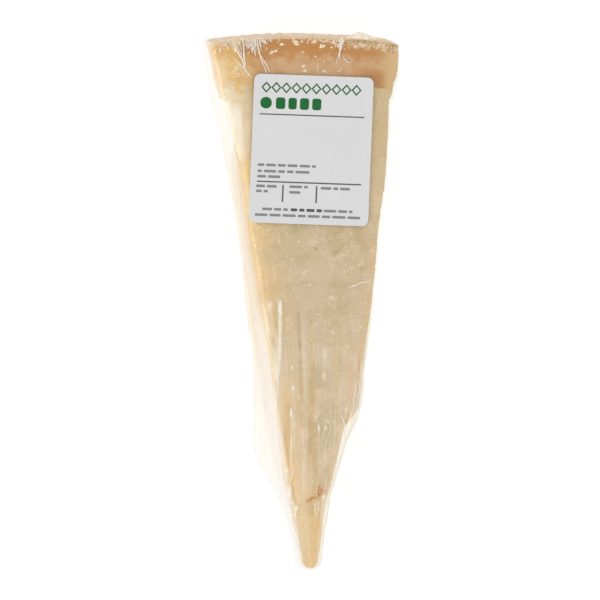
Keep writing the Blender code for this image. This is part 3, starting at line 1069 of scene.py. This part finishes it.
        # Milk over the upper face along both edges, reaching far at the left, lamp side as painted light.
        left_over = 0.9 * (1.0 - np.clip((x - left_edge) / left_reach, 0.0, 1.0))
        left_over *= np.maximum(smooth(0.25, 0.7, bridged), smooth(0.1, 1.0, reach))
        right_over = 0.75 * (1.0 - np.clip((right_edge - x) / right_reach, 0.0, 1.0))
        milk = np.maximum.reduce((left, right, on_top * left_over, on_top * right_over))
        broad, fine = cloud(spots, (0.12, 0.05, 0.12), 2.0), cloud(spots, (0.5, 0.03, 0.5), 6.0)
        streaked = 1.0 + 0.25 * broad + 0.35 * fine
        sheen = np.clip(1.5 * low + hanging + bridged, 0.0, 1.0) * to_left + 0.4 * hanging * upper * to_right
        return np.clip(milk * streaked, 0.0, 0.95), sheen

    def ripple(self, spots: np.ndarray) -> np.ndarray:
        """Fine lengthwise tension lines of the lower half, in millimetres."""
        along = self.skin.length / 2 - spots[:, 1]
        spread = 60.0 / (24.0 + 0.55 * np.maximum(self.skin.length - along, 0.0))
        course = np.stack([spots[:, 0] * spread, spots[:, 1], spots[:, 2]], 1)
        lines = 0.12 * cloud(course, (0.9, 0.03, 0.3)) + 0.07 * cloud(course, (2.4, 0.05, 0.5), 7.0)
        return smooth(96.0, 135.0, along) * lines

    def pleats(self, spots: np.ndarray) -> np.ndarray:
        """Upright pleats over the rind, gathered at two places, in millimetres."""
        near_rind = 1.0 - smooth(6.0, 16.0, self.skin.length / 2 - spots[:, 1])
        x = spots[:, 0]
        gathers = np.exp(-((x + 25.0) / 9.0) ** 2) + 0.6 * np.exp(-((x - 20.0) / 7.0) ** 2)
        return near_rind * (0.1 + 0.35 * gathers) * 0.55 * cloud(spots, (0.8, 0.06, 0.05))

    def shape(self, bm: bmesh.types.BMesh) -> None:
        """Gives the smooth skin its folds, ripples and the bulge behind the rind, and paints its milk with
        painted highlights and painted light, its shade and its sheen.
        """
        spots, normals = corners_of(bm) / MM, normals_of(bm)
        on_top = smooth(0.2, 0.6, normals[:, 2])
        lift = 0.08 + 0.08 * cloud(spots, 0.12) + self.ripple(spots) + self.pleats(spots)
        (milk, sheen), shade = self.haze_and_painted_light(spots, normals), np.zeros(len(spots))
        for fold in self.folds:
            weight = fold.weight(spots) * on_top
            lift += fold.height * weight
            milk = np.maximum(milk, fold.milk * weight)
            shade = np.maximum(shade, fold.shade * weight)
            milk *= 1.0 + np.minimum(fold.milk, 0.0) * weight
        # Painted highlights of the gleams.
        for gleam in self.gleams:
            milk = np.maximum(milk, gleam.milk * gleam.weight(spots) * on_top)
        moved = spots + normals * lift[:, None]
        middle, width, reach = self.bulge
        hill = reach * np.exp(-((spots[:, 0] - middle) / width) ** 2) * smooth(22.0, 31.0, spots[:, 2])
        hill *= smooth(91.0, 97.0, spots[:, 1])
        moved[:, 1] += hill * (1.0 + 0.25 * cloud(spots, 0.9))
        beyond = moved[:, 1] - self.skin.rind_at(spots[:, 0], 1.0)
        milk = np.maximum(milk, 0.7 * smooth(0.2, 0.8, beyond) * smooth(0.5, 1.2, hill)
                          * (1.0 + cloud(spots, 1.2)))
        moved[:, 2] = np.maximum(moved[:, 2] + 0.2 * hill, 0.02)
        set_corners(bm, moved * MM)
        paint(bm, self.MILK_AND_HIGHLIGHT, milk)
        paint(bm, self.SHADE, shade)
        paint(bm, self.SHEEN, sheen)

    def build(self) -> bpy.types.Object:
        """Builds and dresses the film."""
        bm = self.skin.build()
        self.shape(bm)
        piece = finished("film", bm, FilmFinish("clear_film").build())
        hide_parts(WRAPPED)
        return piece


@dataclass(frozen=True)
class Crease:
    """A doubled crease of the film, as a thin flattened roll along a path of (x, y) in millimetres.

    A path that runs past the rind's upper edge goes on down the rind's outside.
    """

    path: tuple[tuple[float, float], ...]
    width: float = 0.5
    height: float = 0.35
    sides: int = 8
    per_mm: float = 1.6

    def on_skin(self, x: float, y: float, lift: float, skin: WedgeSkin) -> Vector:
        """The point over the film's skin at a place seen from above, in millimetres."""
        past = y - float(skin.rind_at(x, 1.0)) + 0.5
        top = float(skin.top_at(np.array([skin.length / 2 - y]))[0])
        if past <= 0.0:
            return Vector((x, y, top + lift))
        down = min(past * 9.5, top - 3.0)
        lean = skin.rind_lean * down / (skin.top - skin.bottom)
        return Vector((x, y - past + lean + 0.5 * min(past, 1.0) + lift,
                       top - down + lift * max(0.0, 1.0 - past)))

    def add_to(self, bm: bmesh.types.BMesh, skin: WedgeSkin) -> None:
        """Adds the crease to the mesh that holds all creases."""
        points = np.array(self.path, float)
        legs = np.linalg.norm(np.diff(points, axis=0), axis=1)
        marks = np.concatenate(([0.0], np.cumsum(legs)))
        cells = max(6, int(marks[-1] * self.per_mm))

        def at(run: float) -> np.ndarray:
            return np.array([np.interp(run, marks, points[:, i]) for i in range(2)])

        for vert in bmesh.ops.create_uvsphere(bm, u_segments=self.sides, v_segments=cells,
                                              radius=1.0)["verts"]:
            share = math.acos(min(max(-vert.co.z, -1.0), 1.0)) / math.pi
            ring = max(math.hypot(vert.co.x, vert.co.y), 1e-6)
            x, y = at(share * marks[-1])
            ahead = at(share * marks[-1] + 0.2) - at(share * marks[-1] - 0.2)
            side = Vector((ahead[1], -ahead[0])).normalized()
            thick = math.sin(math.pi * share) ** 0.4 if 0.0 < share < 1.0 else 0.0
            thick *= 1.0 + 0.6 * noise.noise(Vector((x * 0.5, y * 0.5, self.width * 5.0)))
            sway = 0.08 * noise.noise(Vector((x * 0.4, y * 0.4, self.width * 9.0)))
            reach = vert.co.x / ring * self.width * thick / 2 + sway
            lift = 0.1 + (vert.co.y / ring * 0.5 + 0.15) * self.height * thick
            vert.co = self.on_skin(x + side.x * reach, y + side.y * reach, lift, skin) * MM


@dataclass
class Creases:
    """All doubled creases: the two pleat fans by the rind, stray wrinkles and those of the lower half."""

    skin: WedgeSkin
    seed: int = 11
    pleats: tuple[Crease, ...] = (
        Crease(((-28.5, 99.2), (-26.1, 95.1), (-24.2, 91.9), (-22.8, 87.6), (-20.1, 84.5)), 0.5, 0.3),
        Crease(((-27.6, 99.2), (-25.6, 95.6), (-23.9, 92.6)), 0.34, 0.25),
        Crease(((-23.8, 99.3), (-23.5, 94.9), (-23.3, 91.9), (-22.8, 88.7)), 0.6, 0.35),
        Crease(((-28.4, 93.2), (-26.1, 90.9), (-23.9, 88.7), (-21.5, 86.1), (-20.1, 84.5)), 0.34, 0.2),
        Crease(((-25.2, 99.0), (-24.4, 95.6), (-24.0, 93.0)), 0.2, 0.2),
        Crease(((-31.1, 98.9), (-30.6, 96.4)), 0.3, 0.25),
        Crease(((-30.2, 99.0), (-29.7, 96.5)), 0.3, 0.25),
        Crease(((-29.3, 99.1), (-27.9, 97.1)), 0.22, 0.2),
        Crease(((-22.8, 99.9), (-20.7, 97.4), (-19.3, 94.9), (-19.2, 92.5)), 0.42, 0.25),
        Crease(((-21.3, 99.6), (-20.9, 96.6), (-20.6, 95.2)), 0.25, 0.2),
        Crease(((-18.8, 100.0), (-18.3, 97.0), (-17.7, 94.1), (-16.7, 91.1), (-15.3, 87.6), (-14.7, 86.2)),
               0.48, 0.3),
        Crease(((-19.9, 99.8), (-19.3, 97.0), (-18.6, 94.4)), 0.22, 0.25),
        Crease(((-17.7, 94.1), (-15.8, 90.9), (-14.2, 87.9), (-13.5, 86.2)), 0.32, 0.2),
        Crease(((-17.9, 93.0), (-16.2, 89.8), (-15.3, 87.4)), 0.14, 0.15),
        Crease(((-16.9, 99.8), (-17.3, 97.0), (-17.3, 95.0)), 0.25, 0.25),
        Crease(((-26.9, 99.2), (-27.3, 97.0)), 0.25, 0.2),
        Crease(((-35.0, 95.0), (-34.0, 91.0), (-32.6, 87.0)), 0.14, 0.12))
    stray: tuple[Crease, ...] = (
        Crease(((-9.95, 2.4), (-9.9, -9.3), (-10.0, -18.6), (-10.8, -28.0), (-11.2, -37.3),
                (-10.9, -46.0)), 0.6, 0.3),
        Crease(((-9.6, 1.6), (-9.7, -5.5)), 0.5, 0.3),
        Crease(((16.4, 6.3), (18.3, 7.3), (20.1, 8.2), (23.0, 8.7)), 0.45, 0.25),
        Crease(((14.6, 6.0), (16.6, 6.9), (19.0, 7.9)), 0.2, 0.2),
        Crease(((14.9, 99.6), (13.4, 98.4), (12.7, 96.0), (12.4, 93.4), (12.3, 91.2)), 0.55, 0.4),
        Crease(((13.6, 99.4), (12.9, 97.4), (12.5, 95.4)), 0.35, 0.35),
        Crease(((11.2, 97.6), (12.0, 96.6), (12.4, 95.0)), 0.25, 0.3),
        Crease(((12.8, 95.6), (12.0, 93.2), (11.4, 91.0), (11.0, 89.6)), 0.2, 0.25),
        Crease(((13.2, 93.6), (14.2, 91.6), (15.2, 90.6), (16.3, 90.2), (17.3, 90.8), (16.7, 91.7),
                (15.9, 91.4)),
               0.22, 0.25),
        Crease(((11.4, 86.8), (12.4, 87.2), (13.2, 88.2)), 0.25, 0.3),
        Crease(((4.2, 91.6), (4.2, 85.6)), 0.12, 0.12),
        Crease(((-5.8, -61.4), (-5.2, -63.4), (-6.2, -66.4)), 0.32, 0.3),
        Crease(((-4.8, -60.8), (-5.2, -63.0)), 0.2, 0.2),
        Crease(((-7.0, -66.8), (-6.6, -71.0), (-4.2, -76.6)), 0.25, 0.3),
        Crease(((-6.9, -71.0), (-5.8, -77.5), (-5.2, -81.3), (-3.4, -91.6), (-1.6, -98.0)), 0.5, 0.3),
        Crease(((12.6, -39.9), (14.3, -44.4), (14.0, -51.2), (12.2, -58.3), (10.2, -65.0)), 0.42, 0.3),
        Crease(((19.2, -24.6), (20.0, -30.2), (18.6, -37.3), (16.4, -42.0)), 0.26, 0.25),
        Crease(((17.2, -36.0), (15.8, -41.0)), 0.2, 0.2),
        Crease(((-5.4, -44.4), (-5.7, -53.0), (-5.8, -61.6)), 0.22, 0.2),
        Crease(((-6.1, -21.6), (-4.8, -24.4)), 0.2, 0.2),
        Crease(((20.8, 9.9), (22.6, 9.2), (24.4, 9.4)), 0.16, 0.15),
        Crease(((2.3, -73.4), (3.4, -75.2), (2.8, -77.0), (4.2, -78.6), (3.0, -80.4)), 0.3, 0.2),
        Crease(((4.6, -72.4), (4.9, -74.6), (4.0, -76.4)), 0.25, 0.2))
    gathers: tuple[tuple[float, float, int], ...] = ((-23.6, 2.6, 10), (-18.6, 2.0, 15), (-29.5, 1.8, 5),
                                                     (13.0, 1.0, 6))
    sleeve: int = 12

    def nicks(self, draw: random.Random) -> list[Crease]:
        """Short bright nicks where the bunched film turns over the rind's edge.

        Args:
            draw: The source of the scatter.

        Returns:
            The nicks of every gather, given as (x, spread, count).
        """
        made = []
        for middle, spread, count in self.gathers:
            for _ in range(count):
                x, y = draw.gauss(middle, spread), 99.9 - 4.6 * draw.random() ** 1.3
                lean, run = draw.uniform(-0.45, 0.5), draw.uniform(0.7, 2.4)
                path = ((x, y), (x + lean * run * 0.3, y - run * 0.5), (x + lean * run, y - run))
                made.append(Crease(path, draw.uniform(0.3, 0.6), draw.uniform(0.15, 0.3)))
        return made

    def lengthwise(self, draw: random.Random) -> list[Crease]:
        """Thin creases that run down the lower half, gathering towards the tip."""
        creases = []
        for _ in range(self.sleeve):
            share, start = draw.uniform(-0.92, 0.92), draw.uniform(108.0, 172.0)
            end = min(start + draw.uniform(6.0, 26.0), 194.0)
            path = tuple((self.skin.across_at(at, share), 100.0 - at) for at in np.linspace(start, end, 4))
            creases.append(Crease(path, draw.uniform(0.08, 0.18), draw.uniform(0.08, 0.15), per_mm=0.8))
        return creases

    def build(self) -> bpy.types.Object:
        """Builds and dresses the creases as one joined mesh."""
        bm = bmesh.new()
        draw = random.Random(self.seed)
        for crease in (*self.pleats, *self.nicks(draw), *self.stray, *self.lengthwise(draw)):
            crease.add_to(bm, self.skin)
        bmesh.ops.recalc_face_normals(bm, faces=bm.faces)
        # The creases' strong milk is partly doubled film and partly a painted highlight.
        finish = FilmFinish("creased_film_and_highlight", milk=0.9, streak_milk=0.05, band_milk=0.0, gloss=1.5,
                            wrinkle=0.02,
                            white=linear(255, 250, 238))
        return finished("film_creases", bm, finish.build())


# ---------------------------------------------------------------- the label


@dataclass
class Label:
    """The paper label, draped on the film. Its own u and v run across and up it, in millimetres."""

    width: float = 44.8
    length: float = 55.4
    corner: float = 2.4
    thickness: float = 0.16
    turn: float = math.radians(-2.3)
    cell: float = 1.5

    def __post_init__(self) -> None:
        """Finds the label's place from its CAD node."""
        low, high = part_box(LABEL)
        self.middle = (low + high) / 2
        self.level = low.z / MM

    def sag(self, u: float, v: float) -> float:
        """How far the paper lies over its lowest level, in millimetres. It follows the film."""
        wave = 0.10 * noise.noise(Vector((u * 0.05, v * 0.045, 3.0)))
        wave += 0.04 * noise.noise(Vector((u, v, 8.0)) * 0.16)
        rim = max(abs(u) / (self.width / 2), abs(v) / (self.length / 2))
        far_side = max(u / (self.width / 2), -v / (self.length / 2))
        return 0.12 + wave + 0.08 * smooth(0.86, 1.0, rim) + 0.10 * smooth(0.88, 1.0, far_side)

    def place(self, u: float, v: float, over: float) -> Vector:
        """The point of the frame at a place of the label.

        Args:
            u: Millimetres to the right of its middle.
            v: Millimetres above its middle.
            over: Millimetres over the paper's lower side.

        Returns:
            The point, in metres.
        """
        x = u * math.cos(self.turn) - v * math.sin(self.turn)
        y = u * math.sin(self.turn) + v * math.cos(self.turn)
        return Vector((self.middle.x + x * MM, self.middle.y + y * MM,
                       (self.level + self.sag(u, v) + over) * MM))

    def cut_up(self, bm: bmesh.types.BMesh) -> None:
        """Cuts flat shapes along lines a cell apart, so that they can follow the paper."""
        for axis, reach in ((0, self.width / 2), (1, self.length / 2)):
            normal = Vector((1.0, 0.0, 0.0) if axis == 0 else (0.0, 1.0, 0.0))
            for i in range(-int(reach / self.cell), int(reach / self.cell) + 1):
                everything = [*bm.verts, *bm.edges, *bm.faces]
                bmesh.ops.bisect_plane(bm, geom=everything, dist=1e-6, plane_co=normal * i * self.cell,
                                       plane_no=normal)

    def drape(self, bm: bmesh.types.BMesh, over: float) -> None:
        """Moves flat shapes of the label's plane onto the paper, at a height over its lower side."""
        for vert in bm.verts:
            vert.co = self.place(vert.co.x, vert.co.y, over + vert.co.z)

    def build(self) -> bpy.types.Object:
        """Builds and dresses the paper."""
        bm = bmesh.new()
        add_plate(bm, (0.0, 0.0), (self.width, self.length), self.corner, 8)
        self.cut_up(bm)
        bmesh.ops.solidify(bm, geom=bm.faces[:], thickness=self.thickness)
        bmesh.ops.recalc_face_normals(bm, faces=bm.faces)
        self.drape(bm, self.thickness)
        piece = finished("price_label", bm, PaperFinish().build())
        piece.data.set_sharp_from_angle(angle=math.radians(40.0))
        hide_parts(LABEL)
        return piece


def add_plate(bm: bmesh.types.BMesh, middle: tuple[float, float], size: tuple[float, float], corner: float,
              steps: int) -> list[bmesh.types.BMVert]:
    """Adds a flat rectangle with round corners, facing up.

    Args:
        bm: The mesh that gets it.
        middle: Its middle.
        size: Its width and length.
        corner: The radius of its corners.
        steps: Segments of each corner.

    Returns:
        Its vertices.
    """
    made = bmesh.ops.create_grid(bm, x_segments=1, y_segments=1, size=0.5)["verts"]
    bmesh.ops.scale(bm, verts=made, vec=(size[0], size[1], 1.0))
    bmesh.ops.translate(bm, verts=made, vec=(*middle, 0.0))
    if corner > 0.0:
        bmesh.ops.bevel(bm, geom=made, offset=corner, offset_type="OFFSET", affect="VERTICES", segments=steps,
                        profile=0.5, material=-1)
    return made


@dataclass
class Print:
    """The label's print: plain green shapes, grey rules and grey bars in place of all lettering."""

    label: Label
    seed: int = 3
    over: float = 0.02

    def diamond_row(self, bm: bmesh.types.BMesh) -> None:
        """The thin outlined diamonds of the first line."""
        for u in np.linspace(-17.7, 16.1, 10):
            before = set(bm.faces)
            made = bmesh.ops.create_circle(bm, cap_ends=True, segments=4, radius=2.1)["verts"]
            bmesh.ops.scale(bm, verts=made, vec=(0.9, 1.0, 1.0))
            bmesh.ops.translate(bm, verts=made, vec=(float(u), 22.8, 0.0))
            face = next(face for face in bm.faces if face not in before)
            rim = bmesh.ops.inset_region(bm, faces=[face], thickness=0.5, use_even_offset=True,
                                         use_boundary=True)["faces"]
            bmesh.ops.delete(bm, geom=[f for f in bm.faces if f not in before and f not in rim],
                             context="FACES")

    def text_bars(self, bm: bmesh.types.BMesh, draw: random.Random, span: tuple[float, float], v: float,
                  height: float) -> None:
        """A line of short bars with gaps between them, in place of words.

        Args:
            bm: The mesh that gets them.
            draw: The source of random numbers.
            span: Where the line starts and ends.
            v: The middle of the line.
            height: The bars' height.
        """
        u = span[0]
        while u < span[1] - 0.6:
            run = min(draw.uniform(1.6, 5.2), span[1] - u)
            add_plate(bm, (u + run / 2, v), (run, height), height * 0.3, 3)
            u += run + 0.75

    def piece(self, name: str, ink: Ink,
              draw_shapes: Callable[[bmesh.types.BMesh], None]) -> bpy.types.Object:
        """Makes one ink's shapes and lays them on the paper.

        Args:
            name: The piece's name.
            ink: Its ink.
            draw_shapes: Adds the flat shapes to a bmesh.

        Returns:
            The new object.
        """
        bm = bmesh.new()
        draw_shapes(bm)
        self.label.cut_up(bm)
        bmesh.ops.solidify(bm, geom=bm.faces[:], thickness=self.over)
        bmesh.ops.recalc_face_normals(bm, faces=bm.faces)
        self.label.drape(bm, self.label.thickness + self.over * 1.5)
        made = finished(name, bm, ink.build())
        made.data.set_sharp_from_angle(angle=math.radians(30.0))
        return made

    def bold(self, bm: bmesh.types.BMesh) -> None:
        """The bold green shapes of the second line: a round mark and a row of blocks."""
        add_plate(bm, (-17.6, 17.0), (4.3, 4.3), 2.05, 8)
        for left, right in ((-13.9, -10.4), (-9.2, -6.1), (-4.9, -1.5), (-0.3, 3.1)):
            add_plate(bm, ((left + right) / 2, 17.0), (right - left, 4.3), 0.9, 5)

    def rules(self, bm: bmesh.types.BMesh) -> None:
        """The two long rules and the two dividers."""
        add_plate(bm, (-0.2, 12.8), (39.2, 0.45), 0.0, 1)
        add_plate(bm, (-0.35, -12.3), (39.1, 0.5), 0.0, 1)
        for u in (-10.0, 2.6):
            add_plate(bm, (u, -16.5), (0.55, 6.4), 0.0, 1)

    def captions(self, bm: bmesh.types.BMesh) -> None:
        """The small lines of bars."""
        draw = random.Random(self.seed)
        lines = (((-19.8, 2.0), -6.1), ((-19.8, 0.4), -8.4), ((-19.8, -11.2), -10.4),
                 ((-20.1, -12.4), -14.0), ((-20.1, -15.6), -15.9), ((-7.6, -0.7), -13.9),
                 ((-7.6, -3.4), -16.0), ((4.1, 15.1), -14.1), ((-17.5, -7.4), -22.5), ((5.6, 16.4), -22.5),
                 ((-20.2, 19.3), -24.7))
        for span, v in lines:
            self.text_bars(bm, draw, span, v, 0.95)

    def bold_caption(self, bm: bmesh.types.BMesh) -> None:
        """The darker bars in the last but one line."""
        draw = random.Random(self.seed + 1)
        self.text_bars(bm, draw, (-6.8, 4.9), -22.5, 1.1)

    def build(self) -> None:
        """Builds and dresses all printed shapes."""
        self.piece("print_diamonds", Ink.DEEP_GREEN, self.diamond_row)
        self.piece("print_blocks", Ink.GREEN, self.bold)
        self.piece("print_rules", Ink.GREY, self.rules)
        self.piece("print_captions", Ink.SOFT_GREY, self.captions)
        self.piece("print_bold_caption", Ink.GREY, self.bold_caption)


# ---------------------------------------------------------------- the studio


@dataclass
class Studio:
    """A plain white floor, soft light that comes mostly from the left, and the camera over the wedge."""

    target: Vector = field(default_factory=lambda: Vector((1.5, 0.3, 0.0)) * MM)
    lean_left: float = math.radians(7.0)
    lean_back: float = math.radians(3.0)
    distance: float = 5.0
    view_width: float = 0.2248
    sensor: float = 36.0
    floor_half: float = 3.0
    sky: float = 0.88

    def floor(self) -> None:
        """A wide white floor."""
        graph = Graph("white_floor")
        tone = graph.mix(graph.noise(3.0, 2.0), (0.16, 0.16, 0.16), (0.14, 0.14, 0.14))
        shader = graph.add("ShaderNodeBsdfPrincipled", {
            "Base Color": tone, "Roughness": 0.9, "Specular IOR Level": 0.1,
            "Emission Color": (1.0, 1.0, 1.0), "Emission Strength": 0.89})
        bm = bmesh.new()
        bmesh.ops.create_circle(bm, cap_ends=True, segments=96, radius=self.floor_half)
        bmesh.ops.translate(bm, verts=bm.verts, vec=(0.0, 0.0, -0.0002))
        mesh = bpy.data.meshes.new("floor")
        bm.to_mesh(mesh)
        bm.free()
        mesh.materials.append(graph.finish(shader.outputs[0]))
        floor = bpy.data.objects.new("floor", mesh)
        bpy.context.scene.collection.objects.link(floor)

    def lamp(self, name: str, place: Sequence[float], size: tuple[float, float], power: float) -> None:
        """An area light that looks at the wedge.

        Args:
            name: Its name.
            place: Where it hangs, in metres.
            size: Its width and height, in metres.
            power: Its power in watts.
        """
        light = bpy.data.lights.new(name, "AREA")
        light.shape = "RECTANGLE"
        light.size, light.size_y = size
        light.energy = power
        lamp = bpy.data.objects.new(name, light)
        bpy.context.scene.collection.objects.link(lamp)
        lamp.location = place
        lamp.rotation_euler = Vector(place).to_track_quat("Z", "Y").to_euler()

    def lights(self) -> None:
        """The sky and the lamps."""
        world = bpy.data.worlds.new("studio")
        bpy.context.scene.world = world
        world.use_nodes = True
        world.node_tree.nodes["Background"].inputs["Color"].default_value = (1.0, 1.0, 1.0, 1.0)
        world.node_tree.nodes["Background"].inputs["Strength"].default_value = self.sky
        self.lamp("left_box", (-1.0, 0.10, 0.20), (0.75, 0.35), 1.8)
        self.lamp("left_strip", (-0.75, -0.44, 0.52), (0.9, 0.03), 1.4)
        self.lamp("right_fill", (0.9, -0.2, 0.5), (0.8, 0.6), 0.7)

    def camera(self) -> None:
        """The camera, with the rind up in its picture."""
        data = bpy.data.cameras.new("camera")
        data.sensor_width = self.sensor
        data.lens = self.sensor * self.distance / self.view_width
        camera = bpy.data.objects.new("camera", data)
        bpy.context.scene.collection.objects.link(camera)
        back = Vector((-math.tan(self.lean_left), math.tan(self.lean_back), 1.0)).normalized()
        right = Vector((0.0, 1.0, 0.0)).cross(back).normalized()
        up = back.cross(right)
        turn = Matrix((right, up, back)).transposed().to_4x4()
        camera.matrix_world = Matrix.Translation(self.target + back * self.distance) @ turn
        bpy.context.scene.camera = camera

    def build(self) -> None:
        """Builds the floor, the lights and the camera."""
        bpy.context.scene.view_settings.view_transform = "Standard"
        self.floor()
        self.lights()
        self.camera()


def main() -> None:
    """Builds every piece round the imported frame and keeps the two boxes."""
    logging.basicConfig(level=logging.INFO, format="%(name)s: %(message)s")
    Studio().build()
    cheese = Cheese()
    cheese.build()
    Crumbs(cheese.skin).build()
    film = Film()
    film.build()
    Creases(film.skin).build()
    label = Label()
    label.build()
    Print(label).build()


if __name__ == "__main__":
    main()
